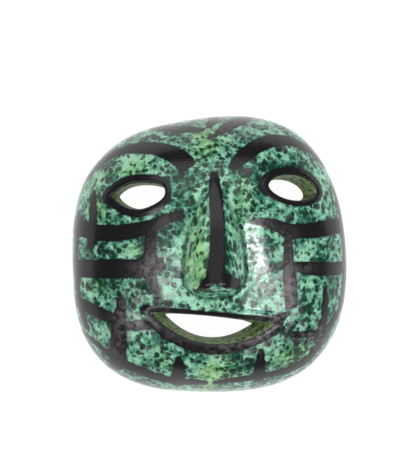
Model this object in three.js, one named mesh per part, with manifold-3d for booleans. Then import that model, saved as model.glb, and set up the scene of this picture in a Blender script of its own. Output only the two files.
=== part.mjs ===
// Stoneware mask: a hollow, domed shell with a wedge nose, two leaf-shaped eye holes and a smiling
// mouth. It lies face up on the flat foot ring of its back rim.
// Millimetres: +X is the viewer's right, +Y the forehead, +Z out of the face, z = 0 the foot ring.
import * as THREE from "three";
import Module from "manifold-3d";

// Driving dimensions of the whole mask.
const HALF_WIDTH = 90;
const HALF_HEIGHT = 89.5;
const RIM_HEIGHT = 14; // height of the widest contour above the foot ring
const DOME_RISE = 62; // from the widest contour to the middle of the face
const SIDE_WALL = 10; // wall thickness at the widest contour
const FACE_WALL = 12; // wall thickness in the middle of the face

// Plan outline: a rounded square, turned a little. Its middle line bows to the viewer's left at the
// crown and the chin, its right side is taller than its left, and its crown is the narrower end.
const OUTLINE_TURN = THREE.MathUtils.degToRad(3);
const CROWN_BOW = 5;
const CHIN_BOW = 9;
const RIGHT_TALLER = 0.09;
const CROWN_NARROWER = 0.03;
const SQUARENESS_X = 2.8;
const SQUARENESS_Y = 2.6;

// Dome profile: the exponent rounds the shoulder, the wrap bends the face more across than along.
const SHOULDER_EXPONENT = 2.1;
const OUTER_WRAP = 12;
const INNER_WRAP = 10;

// Back rim, below the widest contour.
const FOOT_TUCK = 0.03; // share of the plan drawn in at the foot ring
const INNER_TUCK = 0.015;
const FOOT_CHAMFER = 1.5;

// Nose: a wedge that rises from the brow to the tip and drops steeply to the upper lip.
const NOSE = {
  x: -2.6,
  top: 57,
  widest: -8,
  tip: -13,
  base: -22,
  rise: 15,
  halfWidth: 19.5,
  sideFullness: 0.8,
  flankSlope: 1.05,
  undersideSlope: 1.9,
  wingLift: 9,
};
const NOSE_EDGE_BLEND = 4;
const NOSE_ROOT = { depth: 3, margin: 3, z: 40 }; // the part of the wedge that sits in the dome
const NOSE_HOLLOW = { depth: 6, halfWidth: 12, halfLength: 24, y: 2 };

// Openings: a leaf on the outer face and a leaf on the inner face, joined by a ruled wall.
// "above" and "below" are the leaf's half-heights, sharpness 1 is a round end and 2 a pointed one.
const OPENINGS = [
  {
    outer: { x: -49, y: 42.1, halfLength: 16.4, above: 5.9, below: 9.7, tilt: 8.5, left: 2.3, right: 0.8 },
    inner: { x: -44.6, y: 40.6, halfLength: 14.6, above: 5.8, below: 8.6, tilt: 6, left: 1.5, right: 1 },
  },
  {
    outer: { x: 48.2, y: 44.4, halfLength: 16.4, above: 8.4, below: 6.7, tilt: -8.8, left: 1.2, right: 1.3 },
    inner: { x: 42.6, y: 42.2, halfLength: 13.8, above: 7, below: 6.4, tilt: -13, left: 1.1, right: 1.1 },
  },
  {
    outer: { x: -2.4, y: -34.8, halfLength: 37.7, above: 1.1, below: 15.1, tilt: -5.8, left: 1.8, right: 1.9 },
    inner: { x: -4.6, y: -36.3, halfLength: 27, above: 3.9, below: 11.4, tilt: -6.5, left: 2, right: 2 },
  },
];
const CUTTER_OVERRUN = 0.9; // the ruled wall runs on past each face by this share of its depth
const CUTTER_CAP = 6; // the cutter's caps are domed by this much, to clear the curved face

// Facets.
const OUTER_CELLS = 42;
const INNER_CELLS = 26;
const NOSE_CELLS = { across: 22, along: 36 };
const CENTRE_CELL_SHARE = 0.62; // a cell in the middle, next to an average one
const RIM_RINGS = 3;
const OPENING_POINTS = 40;

const wasm = await Module();
wasm.setup();

// Lower of two heights, blended over a band of the given width.
function smoothMin(a, b, width) {
  const overlap = Math.max(width - Math.abs(a - b), 0) / width;
  return Math.min(a, b) - (overlap * overlap * width) / 4;
}

// Squareness level of a plan point: 0 in the middle and 1 on the outline of the given half-sizes.
function planLevel(x, y, halfWidth, halfHeight) {
  const across = Math.cos(OUTLINE_TURN) * x + Math.sin(OUTLINE_TURN) * y;
  const along = Math.cos(OUTLINE_TURN) * y - Math.sin(OUTLINE_TURN) * x;
  const up = along / halfHeight;
  const bow = (up > 0 ? CROWN_BOW : CHIN_BOW) * up ** 2;
  const u = (across + bow) / (halfWidth * (1 - CROWN_NARROWER * up));
  const v = up / (1 + RIGHT_TALLER * THREE.MathUtils.clamp(u, -1.3, 1.3));
  return { u, v, level: Math.abs(u) ** SQUARENESS_X + Math.abs(v) ** SQUARENESS_Y };
}

function domeHeight(x, y, { halfWidth, halfHeight, rise, wrap }) {
  const { u, v, level } = planLevel(x, y, halfWidth, halfHeight);
  const inside = Math.max(1 - level, 0);
  return RIM_HEIGHT + rise * inside ** (1 / SHOULDER_EXPONENT) + wrap * (v * v - u * u) * inside;
}

// Height of the nose wedge over the dome, below zero outside its foot: the lowest of its ridge
// line, its two flanks and its underside.
function wedgeHeight(x, y) {
  const side = Math.abs(x - NOSE.x);
  const ridgeShare = THREE.MathUtils.clamp((NOSE.top - y) / (NOSE.top - NOSE.tip), 0, 1.2);
  const widthShare = THREE.MathUtils.clamp((NOSE.top - y) / (NOSE.top - NOSE.widest), 0, 1);
  const halfWidth = NOSE.halfWidth * Math.sin((widthShare * Math.PI) / 2) ** NOSE.sideFullness;
  const ridge = NOSE.rise * ridgeShare;
  const flank = NOSE.flankSlope * (halfWidth - side);
  const footLine = NOSE.base + NOSE.wingLift * (side / NOSE.halfWidth) ** 3;
  const underside = NOSE.undersideSlope * (y - footLine);
  return smoothMin(smoothMin(ridge, flank, NOSE_EDGE_BLEND), underside, NOSE_EDGE_BLEND);
}

const OUTER_DOME = { halfWidth: HALF_WIDTH, halfHeight: HALF_HEIGHT, rise: DOME_RISE, wrap: OUTER_WRAP };
const INNER_DOME = {
  halfWidth: HALF_WIDTH - SIDE_WALL,
  halfHeight: HALF_HEIGHT - SIDE_WALL,
  rise: DOME_RISE - FACE_WALL,
  wrap: INNER_WRAP,
};

function outerHeight(x, y) {
  return domeHeight(x, y, OUTER_DOME);
}

function innerHeight(x, y) {
  const across = (x - NOSE.x) / NOSE_HOLLOW.halfWidth;
  const along = (y - NOSE_HOLLOW.y) / NOSE_HOLLOW.halfLength;
  return domeHeight(x, y, INNER_DOME) + NOSE_HOLLOW.depth * Math.exp(-(across ** 2) - along ** 2);
}

// Distance from the centre to the outline in a given direction, by bisection.
function outlineRadius(angle, { halfWidth, halfHeight }) {
  let near = 0;
  let far = 2 * halfWidth;
  for (let step = 0; step < 40; step += 1) {
    const middle = (near + far) / 2;
    const { level } = planLevel(middle * Math.cos(angle), middle * Math.sin(angle), halfWidth, halfHeight);
    if (level < 1) near = middle;
    else far = middle;
  }
  return near;
}

// Plan point of a square grid's node: the square becomes a disc, and the disc the mask's outline.
function planPoint(column, row, dome) {
  const spread = (share) => share * (CENTRE_CELL_SHARE + (1 - CENTRE_CELL_SHARE) * share * share);
  const [u, v] = [spread(column), spread(row)];
  const discX = u * Math.sqrt(1 - (v * v) / 2);
  const discY = v * Math.sqrt(1 - (u * u) / 2);
  const angle = Math.atan2(discY, discX);
  const radius = outlineRadius(angle, dome) * Math.sin((Math.min(Math.hypot(discX, discY), 1) * Math.PI) / 2);
  return [radius * Math.cos(angle), radius * Math.sin(angle)];
}

function solidFrom(points, triangles) {
  return new wasm.Manifold(
    new wasm.Mesh({
      numProp: 3,
      vertProperties: new Float32Array(points.flat()),
      triVerts: new Uint32Array(triangles.flat()),
    }),
  );
}

// A band of triangles between two loops of the same length, seen from outside the solid.
function band(upper, lower) {
  return upper.flatMap((corner, index) => {
    const next = (index + 1) % upper.length;
    return [
      [corner, lower[index], lower[next]],
      [corner, lower[next], upper[next]],
    ];
  });
}

// A closed solid under a grid of points: the grid, rings below its edge and a flat base. Each ring
// is the edge of the grid, scaled about the middle of the face and moved to its own height.
function gridSolid(columns, rows, pointAt, rings) {
  const points = [];
  const triangles = [];
  const node = (column, row) => row * (columns + 1) + column;
  for (let row = 0; row <= rows; row += 1) {
    for (let column = 0; column <= columns; column += 1) {
      points.push(pointAt((2 * column) / columns - 1, (2 * row) / rows - 1));
    }
  }
  for (let row = 0; row < rows; row += 1) {
    for (let column = 0; column < columns; column += 1) {
      const [a, b] = [node(column, row), node(column + 1, row)];
      const [c, d] = [node(column + 1, row + 1), node(column, row + 1)];
      const leaning = column < columns / 2 === row < rows / 2;
      triangles.push(...(leaning ? [[a, b, c], [a, c, d]] : [[a, b, d], [b, c, d]]));
    }
  }
  const across = Array.from({ length: columns }, (_, index) => index);
  const along = Array.from({ length: rows }, (_, index) => index);
  let loop = [
    ...across.map((index) => node(index, 0)),
    ...along.map((index) => node(columns, index)),
    ...across.map((index) => node(columns - index, rows)),
    ...along.map((index) => node(0, rows - index)),
  ];
  const edge = loop.map((index) => points[index]);
  for (const { z, scale } of rings) {
    const lower = edge.map(([x, y]) => points.push([x * scale, y * scale, z]) - 1);
    triangles.push(...band(loop, lower));
    loop = lower;
  }
  const average = (axis) => edge.reduce((sum, point) => sum + point[axis], 0) / edge.length;
  const centre = points.push([average(0), average(1), rings.at(-1).z]) - 1;
  triangles.push(...loop.map((corner, index) => [centre, loop[(index + 1) % loop.length], corner]));
  return solidFrom(points, triangles);
}

// A dome over the whole outline, with its edge at the widest contour.
function domeSolid(dome, height, cells, rings) {
  const pointAt = (column, row) => {
    const onEdge = Math.abs(column) === 1 || Math.abs(row) === 1;
    const [x, y] = planPoint(column, row, dome);
    return [x, y, onEdge ? RIM_HEIGHT : height(x, y)];
  };
  return gridSolid(cells, cells, pointAt, rings);
}

// Rings from just under the widest contour down to the foot, drawn in along a parabola.
function rimRings(bottom, tuck) {
  return Array.from({ length: RIM_RINGS }, (_, index) => {
    const z = RIM_HEIGHT + ((bottom - RIM_HEIGHT) * (index + 1)) / RIM_RINGS;
    return { z, scale: 1 - tuck * ((RIM_HEIGHT - z) / RIM_HEIGHT) ** 2 };
  });
}

// The wedge of the nose, rooted in the dome.
function noseSolid() {
  const halfWidth = NOSE.halfWidth + NOSE_ROOT.margin;
  const top = NOSE.top + NOSE_ROOT.margin;
  const base = NOSE.base - NOSE_ROOT.margin;
  const pointAt = (column, row) => {
    const x = NOSE.x + halfWidth * column;
    const y = base + ((top - base) * (row + 1)) / 2;
    return [x, y, outerHeight(x, y) + Math.max(wedgeHeight(x, y), -NOSE_ROOT.depth)];
  };
  return gridSolid(NOSE_CELLS.across, NOSE_CELLS.along, pointAt, [{ z: NOSE_ROOT.z, scale: 1 }]);
}

function headSolid() {
  const rings = rimRings(FOOT_CHAMFER, FOOT_TUCK);
  const foot = { z: 0, scale: rings.at(-1).scale - FOOT_CHAMFER / HALF_WIDTH };
  return domeSolid(OUTER_DOME, outerHeight, OUTER_CELLS, [...rings, foot]).add(noseSolid());
}

function cavitySolid() {
  return domeSolid(INNER_DOME, innerHeight, INNER_CELLS, rimRings(-FOOT_CHAMFER, INNER_TUCK));
}

// Point of a leaf outline, counter-clockwise from its right-hand end.
function leafPoint(leaf, angle) {
  const sharpness = leaf.left + ((leaf.right - leaf.left) * (Math.cos(angle) + 1)) / 2;
  const reach = Math.sin(angle) > 0 ? leaf.above : -leaf.below;
  const along = leaf.halfLength * Math.cos(angle);
  const across = reach * Math.abs(Math.sin(angle)) ** sharpness;
  const tilt = THREE.MathUtils.degToRad(leaf.tilt);
  return [
    leaf.x + along * Math.cos(tilt) - across * Math.sin(tilt),
    leaf.y + along * Math.sin(tilt) + across * Math.cos(tilt),
  ];
}

function leafLoop(leaf, height) {
  return Array.from({ length: OPENING_POINTS }, (_, index) => {
    const [x, y] = leafPoint(leaf, (2 * Math.PI * index) / OPENING_POINTS);
    return new THREE.Vector3(x, y, height(x, y));
  });
}

function loopCentre(loop) {
  return loop.reduce((sum, point) => sum.add(point), new THREE.Vector3()).divideScalar(loop.length);
}

// The block that cuts one opening: its wall is ruled from the outer leaf to the inner leaf.
function cutterSolid({ outer, inner }) {
  const outerLoop = leafLoop(outer, outerHeight);
  const innerLoop = leafLoop(inner, innerHeight);
  const front = outerLoop.map((point, index) => point.clone().lerp(innerLoop[index], -CUTTER_OVERRUN));
  const back = outerLoop.map((point, index) => point.clone().lerp(innerLoop[index], 1 + CUTTER_OVERRUN));
  const lift = new THREE.Vector3(0, 0, CUTTER_CAP);
  const points = [...front, ...back, loopCentre(front).add(lift), loopCentre(back).sub(lift)];
  const count = OPENING_POINTS;
  const frontLoop = front.map((_, index) => index);
  const backLoop = front.map((_, index) => index + count);
  const triangles = [
    ...band(frontLoop, backLoop),
    ...frontLoop.map((corner, index) => [2 * count, corner, frontLoop[(index + 1) % count]]),
    ...backLoop.map((corner, index) => [2 * count + 1, backLoop[(index + 1) % count], corner]),
  ];
  return solidFrom(points.map((point) => point.toArray()), triangles);
}

function geometryOf(solid) {
  const mesh = solid.getMesh();
  const geometry = new THREE.BufferGeometry();
  geometry.setAttribute("position", new THREE.BufferAttribute(mesh.vertProperties, 3));
  geometry.setIndex(new THREE.BufferAttribute(mesh.triVerts, 1));
  geometry.computeVertexNormals();
  return geometry;
}

function buildMask() {
  const shell = OPENINGS.reduce(
    (solid, opening) => solid.subtract(cutterSolid(opening)),
    headSolid().subtract(cavitySolid()),
  );
  const glaze = new THREE.MeshStandardMaterial({ color: 0x4f9a76, roughness: 0.15, metalness: 0 });
  const mesh = new THREE.Mesh(geometryOf(shell), glaze);
  mesh.name = "mask";
  // The origin is under the middle of the mask's bounding box.
  const middle = new THREE.Box3().setFromObject(mesh).getCenter(new THREE.Vector3());
  mesh.position.set(-middle.x, -middle.y, 0);
  return mesh;
}

const mask = new THREE.Group();
mask.add(buildMask());

export default mask;
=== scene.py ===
"""Stoneware mask: its clay surface, its mottled green glaze with brushed bands, and the studio.

Shapes are worked out in millimetres, in the plan of the mask's face: x to the viewer's right, y to
the forehead and z out of the face. Meshes are stored in metres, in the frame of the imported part.
"""
from __future__ import annotations

import logging
import math
from dataclasses import dataclass
from enum import Enum

import bpy
import numpy as np
from mathutils import Matrix, Vector


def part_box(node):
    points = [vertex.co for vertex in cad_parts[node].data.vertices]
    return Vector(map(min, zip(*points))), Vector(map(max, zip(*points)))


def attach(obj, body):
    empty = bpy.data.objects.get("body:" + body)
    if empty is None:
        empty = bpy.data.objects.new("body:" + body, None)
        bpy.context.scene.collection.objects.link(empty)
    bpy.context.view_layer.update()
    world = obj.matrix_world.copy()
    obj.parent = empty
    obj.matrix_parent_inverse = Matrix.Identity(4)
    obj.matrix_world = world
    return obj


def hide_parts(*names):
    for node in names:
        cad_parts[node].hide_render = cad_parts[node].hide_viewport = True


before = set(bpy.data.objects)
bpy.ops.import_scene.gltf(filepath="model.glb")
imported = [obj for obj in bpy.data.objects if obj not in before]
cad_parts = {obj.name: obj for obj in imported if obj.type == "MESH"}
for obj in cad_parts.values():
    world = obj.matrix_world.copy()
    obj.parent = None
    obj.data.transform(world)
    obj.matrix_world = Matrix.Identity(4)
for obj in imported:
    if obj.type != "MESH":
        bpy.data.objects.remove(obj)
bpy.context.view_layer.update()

LOG = logging.getLogger("stoneware_mask")
MM = 0.001
NODE = "mask"
NOSE_X = -2.6  # middle of the nose, across the plan
FAR = 99.0  # stands for the distance, in millimetres, of a place that no band reaches
BAND_LIMIT = 20.0  # largest distance to a band that is stored on the mesh
HALVINGS = 40  # steps of the search for the outline
OUTLINE_STEPS = 1441  # points of the outline that its middle is measured from
LEAF_FINE = 4097  # points of a leaf that its length is measured by
LEAF_EVEN = 2048  # even steps of its length that its normals are smoothed over
LIP_FINE = 3001  # points of half a lip that its length is measured by
BAND_STEPS = 720  # points of an opening's edge that its band is measured from
TINY = 1e-12  # keeps a division clear of zero
WHITE = (1.0, 1.0, 1.0, 1.0)

Array = np.ndarray
Grid = dict[str, Array]  # a grid's plan as complex numbers, and its fall under the widest contour
Block = tuple[int, int, int, int]  # row and column of a block's middle, and its width and height


def smoothstep(low: float, high: float, value: Array) -> Array:
    """Rise from 0 at low to 1 at high along the cubic 3t^2 - 2t^3.

    Args:
        low: Value where the rise starts.
        high: Value where it ends. It may be under low, for a fall.
        value: Values to map.

    Returns:
        The mapped values, from 0 to 1.
    """
    share = np.clip((value - low) / (high - low), 0.0, 1.0)
    return share * share * (3.0 - 2.0 * share)


def smooth_min(a: Array, b: Array, band: float) -> Array:
    """Lower of two heights, less a parabola where they are within a band of each other.

    Args:
        a: First height.
        b: Second height.
        band: Width of the blend.

    Returns:
        The blended lower height.
    """
    overlap = np.maximum(band - np.abs(a - b), 0.0) / band
    return np.minimum(a, b) - overlap * overlap * band / 4.0


def gaussian_loop(values: Array, sigma: float) -> Array:
    """Smooth evenly spaced values round a closed loop with a Gaussian, by Fourier transform.

    Args:
        values: Real or complex values along the loop.
        sigma: Width of the Gaussian, in steps of the loop.

    Returns:
        The smoothed values.
    """
    turns = np.fft.fftfreq(len(values))
    return np.fft.ifft(np.fft.fft(values) * np.exp(-2.0 * (np.pi * turns * sigma) ** 2))


def length_along(points: Array) -> Array:
    """Length of a line of complex points, from its start to each point."""
    return np.concatenate(([0.0], np.cumsum(np.abs(np.diff(points)))))


def read_line(places: Array, stations: Array, values: Array) -> Array:
    """Read complex values, known at stations, at other places between them."""
    return np.interp(places, stations, values.real) + 1j * np.interp(places, stations, values.imag)


@dataclass(frozen=True)
class PlanOutline:
    """Rounded square that the mask shows from the front, turned a little.

    Its middle line bows to the viewer's left at the crown and the chin, its right side is the
    taller one, and its crown is the narrower end.
    """

    half_width: float
    half_height: float
    turn: float = math.radians(3.0)
    crown_bow: float = 5.0
    chin_bow: float = 9.0
    right_taller: float = 0.09
    crown_narrower: float = 0.03
    squareness_x: float = 2.8
    squareness_y: float = 2.6
    widest_share: float = 1.3

    def shares(self, x: Array, y: Array) -> tuple[Array, Array]:
        """Position as shares of the half-width and half-height, in the outline's own bowed axes.

        Args:
            x: Plan positions across.
            y: Plan positions along.

        Returns:
            The shares across and along.
        """
        across = math.cos(self.turn) * x + math.sin(self.turn) * y
        along = math.cos(self.turn) * y - math.sin(self.turn) * x
        up = along / self.half_height
        bow = np.where(up > 0.0, self.crown_bow, self.chin_bow) * up * up
        u = (across + bow) / (self.half_width * (1.0 - self.crown_narrower * up))
        return u, up / (1.0 + self.right_taller * np.clip(u, -self.widest_share, self.widest_share))

    def level(self, x: Array, y: Array) -> Array:
        """Sum of the two shares, each to its power: 0 in the middle and 1 on the outline."""
        u, v = self.shares(x, y)
        return np.abs(u) ** self.squareness_x + np.abs(v) ** self.squareness_y

    def radius(self, angle: Array) -> Array:
        """Distance from the centre to the outline, by bisection.

        Args:
            angle: Directions, counter-clockwise from the right.

        Returns:
            One distance for each direction.
        """
        near = np.zeros_like(angle)
        far = np.full_like(angle, 2.0 * self.half_width)
        for _ in range(HALVINGS):
            middle = (near + far) / 2.0
            inside = self.level(middle * np.cos(angle), middle * np.sin(angle)) < 1.0
            near = np.where(inside, middle, near)
            far = np.where(inside, far, middle)
        return near

    def middle(self) -> tuple[float, float]:
        """Middle of the outline's bounding box.

        Returns:
            Its plan positions across and along.
        """
        angle = np.linspace(-np.pi, np.pi, OUTLINE_STEPS)
        radius = self.radius(angle)
        x, y = radius * np.cos(angle), radius * np.sin(angle)
        return float(x.max() + x.min()) / 2.0, float(y.max() + y.min()) / 2.0


@dataclass(frozen=True)
class Dome:
    """Domed face of the shell, outer or inner, with the wall under its widest contour."""

    outline: PlanOutline
    rise: float
    wrap: float
    tuck: float
    edge_z: float
    rim_z: float = 14.0
    shoulder: float = 2.1
    rim_share: float = 0.9

    def height(self, x: Array, y: Array) -> Array:
        """Height of the dome: rim + rise (1 - level)^(1/shoulder) + wrap (v^2 - u^2)(1 - level).

        Args:
            x: Plan positions across.
            y: Plan positions along.

        Returns:
            The heights.
        """
        u, v = self.outline.shares(x, y)
        inside = np.maximum(1.0 - self.outline.level(x, y), 0.0)
        crown = self.rise * inside ** (1.0 / self.shoulder)
        return self.rim_z + crown + self.wrap * (v * v - u * u) * inside

    def plan(self, cells: int) -> tuple[Array, Array, Array]:
        """Plan of a square grid laid over the dome and down the wall.

        The square becomes a disc (x = u sqrt(1 - v^2/2), and y likewise). The disc's radius becomes
        the sine of a quarter turn over the dome, and an even run down the wall, drawn in by a parabola.

        Args:
            cells: Number of cells along each side.

        Returns:
            Plan positions x and y, and how far each node lies under the widest contour.
        """
        steps = np.linspace(-1.0, 1.0, cells + 1)
        v, u = np.meshgrid(steps, steps, indexing="ij")
        disc_x = u * np.sqrt(1.0 - v * v / 2.0)
        disc_y = v * np.sqrt(1.0 - u * u / 2.0)
        reach = np.minimum(np.hypot(disc_x, disc_y), 1.0)
        angle = np.arctan2(disc_y, disc_x)
        on_dome = np.minimum(reach / self.rim_share, 1.0)
        below = np.maximum(reach - self.rim_share, 0.0) / (1.0 - self.rim_share)
        fall = below * (self.rim_z - self.edge_z)
        radius = self.outline.radius(angle) * np.sin(on_dome * np.pi / 2.0) * self.wall_scale(fall)
        return radius * np.cos(angle), radius * np.sin(angle), fall

    def wall_scale(self, fall: Array) -> Array:
        """Share that the plan is drawn in to, at a depth under the widest contour."""
        return 1.0 - self.tuck * (fall / self.rim_z) ** 2


@dataclass(frozen=True)
class Nose:
    """Wedge of the nose, with soft edges and a small fillet at its foot."""

    x: float = NOSE_X
    top: float = 57.0
    widest: float = -8.0
    tip: float = -13.0
    base: float = -22.0
    rise: float = 15.0
    half_width: float = 19.5
    side_fullness: float = 0.8
    flank_slope: float = 1.05
    underside_slope: float = 1.9
    wing_lift: float = 9.0
    edge_blend: float = 5.0
    foot_blend: float = 1.6
    past_tip: float = 1.2

    def wedge(self, x: Array, y: Array) -> Array:
        """The lowest of the ridge line, the flanks and the underside, below zero off the nose.

        Args:
            x: Plan positions across.
            y: Plan positions along.

        Returns:
            The heights.
        """
        side = np.abs(x - self.x)
        ridge_share = np.clip((self.top - y) / (self.top - self.tip), 0.0, self.past_tip)
        width_share = np.clip((self.top - y) / (self.top - self.widest), 0.0, 1.0)
        half_width = self.half_width * np.sin(width_share * np.pi / 2.0) ** self.side_fullness
        flank = self.flank_slope * (half_width - side)
        foot_line = self.base + self.wing_lift * (side / self.half_width) ** 3
        underside = self.underside_slope * (y - foot_line)
        wedge = smooth_min(self.rise * ridge_share, flank, self.edge_blend)
        return smooth_min(wedge, underside, self.edge_blend)

    def height(self, x: Array, y: Array) -> Array:
        """Height over the dome: the wedge where it is above zero, with a fillet at its foot."""
        wedge = self.wedge(x, y)
        return -smooth_min(-wedge, np.zeros_like(wedge), self.foot_blend)


@dataclass(frozen=True)
class NoseHollow:
    """Soft Gaussian deepening of the hollow behind the nose."""

    x: float = NOSE_X
    y: float = 2.0
    reach_x: float = 12.0
    reach_y: float = 24.0
    depth: float = 6.0

    def height(self, x: Array, y: Array) -> Array:
        """Height over the inner dome: the depth times a Gaussian of the distance from the middle."""
        return self.depth * np.exp(-(((x - self.x) / self.reach_x) ** 2) - ((y - self.y) / self.reach_y) ** 2)


@dataclass(frozen=True)
class Leaf:
    """Leaf-shaped outline of an opening: 1 is a round end and 2 a pointed one."""

    x: float
    y: float
    half_length: float
    above: float
    below: float
    tilt: float
    left: float
    right: float

    def point(self, angle: Array) -> Array:
        """Plan point: the half-length times the cosine, the reach times the sine to a power.

        Args:
            angle: Angles, counter-clockwise from the right-hand end.

        Returns:
            Complex numbers, x + iy, for points of the plan.
        """
        power = self.left + (self.right - self.left) * (np.cos(angle) + 1.0) / 2.0
        reach = np.where(np.sin(angle) > 0.0, self.above, -self.below)
        across = reach * np.abs(np.sin(angle)) ** power
        turned = (self.half_length * np.cos(angle) + 1j * across) * np.exp(1j * math.radians(self.tilt))
        return turned + self.x + 1j * self.y

    def outward(self, angle: Array, softness: float = 1.1) -> Array:
        """Outward normals, fanned smoothly round the pointed ends.

        The outline is taken at even steps of its length, its normals are smoothed over the given
        softness in millimetres, and they are read back at the angles asked for.

        Args:
            angle: Angles, as for point.
            softness: Length over which a corner's normal turns.

        Returns:
            Unit normals as complex numbers.
        """
        fine = np.linspace(0.0, 2.0 * np.pi, LEAF_FINE)
        points = self.point(fine)
        length = length_along(points)
        stations = np.linspace(0.0, length[-1], LEAF_EVEN + 1)
        even = stations[:-1]
        around = read_line(even, length, points)
        normal = -1j * (np.roll(around, -1) - np.roll(around, 1))
        normal = gaussian_loop(normal / np.abs(normal), softness * len(even) / length[-1])
        normal /= np.abs(normal)
        where = np.interp(np.mod(angle, 2.0 * np.pi), fine, length)
        smooth = read_line(where, stations, np.append(normal, normal[0]))
        return smooth / np.abs(smooth)


@dataclass(frozen=True)
class BandWidths:
    """Width of the painted band round an opening, on each side of it."""

    left: float
    right: float
    above: float
    below: float
    lower_left_extra: float = 0.0
    end_power: float = 6.0
    wall: float = 0.9
    wall_left: float = 0.9
    wall_power: int = 20

    def at(self, angle: Array) -> Array:
        """Width at an angle: above or below on the sides, swelling to left or right at the ends.

        Args:
            angle: Angles, as for the leaf's points.

        Returns:
            The widths.
        """
        sine, cosine = np.sin(angle), np.cos(angle)
        side = (self.above + self.below) / 2.0 + (self.above - self.below) / 2.0 * sine
        side += self.lower_left_extra * np.maximum(-sine, 0.0) * -cosine
        end = np.where(cosine > 0.0, self.right, self.left)
        return side + (end - side) * np.abs(cosine) ** self.end_power

    def down_wall(self, angle: Array) -> Array:
        """Depth that the paint runs down the wall, more at the left-hand end."""
        at_left = np.maximum(-np.cos(angle), 0.0) ** self.wall_power
        return self.wall + (self.wall_left - self.wall) * at_left


@dataclass(frozen=True)
class Opening:
    """Eye hole or mouth: outer and inner leaf, raised lip and painted band.

    The rows are those of the profile from the face to the hollow: up the lip, over its edge, down
    the wall and round the inner edge.
    """

    name: str
    outer: Leaf
    inner: Leaf
    band: BandWidths
    lip: float
    lip_reach: float = 7.0
    inner_reach: float = 5.0
    edge_round: float = 2.0
    edge_depth: float = 2.6
    inner_round: float = 0.9
    inner_depth: float = 1.0
    crest_share: float = 0.6
    wall_length: float = 9.0
    lip_rows: int = 5
    edge_rows: int = 7
    wall_rows: int = 8
    inner_rows: int = 5

    def stations(self, count: int) -> Array:
        """Angles of points spaced evenly along a line half-way up the lip.

        Each half of the line, from the right-hand end to the left and back, holds half the points.

        Args:
            count: Number of points, an even number.

        Returns:
            The angles.
        """
        halves = []
        for start in (0.0, np.pi):
            fine = np.linspace(start, start + np.pi, LIP_FINE)
            length = length_along(self.outer.point(fine) + self.outer.outward(fine) * self.lip_reach / 2.0)
            halves.append(np.interp(np.linspace(0.0, length[-1], count // 2 + 1)[:-1], length, fine))
        return np.concatenate(halves)


OUTER = Dome(PlanOutline(90.0, 89.5), rise=62.0, wrap=12.0, tuck=0.036, edge_z=2.0)
INNER = Dome(PlanOutline(80.0, 79.5), rise=50.0, wrap=10.0, tuck=0.018, edge_z=2.0)
NOSE = Nose()
NOSE_HOLLOW = NoseHollow()

# The leaves weren't chosen by hand alone. A least-squares fit, to edge points that were read off the
# photograph, refined their values, and some were then changed.
OPENINGS = (
    Opening(
        name="left_eye_hole",
        outer=Leaf(-49.0, 42.1, 16.4, above=5.9, below=9.7, tilt=8.5, left=2.3, right=0.8),
        inner=Leaf(-44.6, 40.6, 14.6, above=5.8, below=8.6, tilt=6.0, left=1.5, right=1.0),
        band=BandWidths(left=5.0, right=4.2, above=5.2, below=5.2, wall_left=6.0),
        lip=0.5,
    ),
    Opening(
        name="right_eye_hole",
        outer=Leaf(48.2, 44.4, 16.4, above=8.4, below=6.7, tilt=-8.8, left=1.2, right=1.3),
        inner=Leaf(42.6, 42.2, 13.8, above=7.0, below=6.4, tilt=-13.0, left=1.1, right=1.1),
        band=BandWidths(left=7.0, right=4.2, above=5.0, below=3.8),
        lip=0.5,
    ),
    Opening(
        name="mouth",
        outer=Leaf(-2.4, -34.8, 37.7, above=1.1, below=15.1, tilt=-5.8, left=1.8, right=1.9),
        inner=Leaf(-4.6, -36.3, 27.0, above=3.9, below=11.4, tilt=-6.5, left=2.0, right=2.0),
        band=BandWidths(left=4.6, right=5.6, above=3.6, below=7.2, lower_left_extra=1.0, end_power=14.0),
        lip=1.1,
        lip_reach=9.0,
        edge_round=4.4,
        edge_depth=4.6,
    ),
)


def face_height(x: Array, y: Array) -> Array:
    """Height of the outer face: the dome with the nose on it."""
    return OUTER.height(x, y) + NOSE.height(x, y)


def hollow_height(x: Array, y: Array) -> Array:
    """Height of the hollow's ceiling: the inner dome and a soft Gaussian hollow behind the nose."""
    return INNER.height(x, y) + NOSE_HOLLOW.height(x, y)


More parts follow.
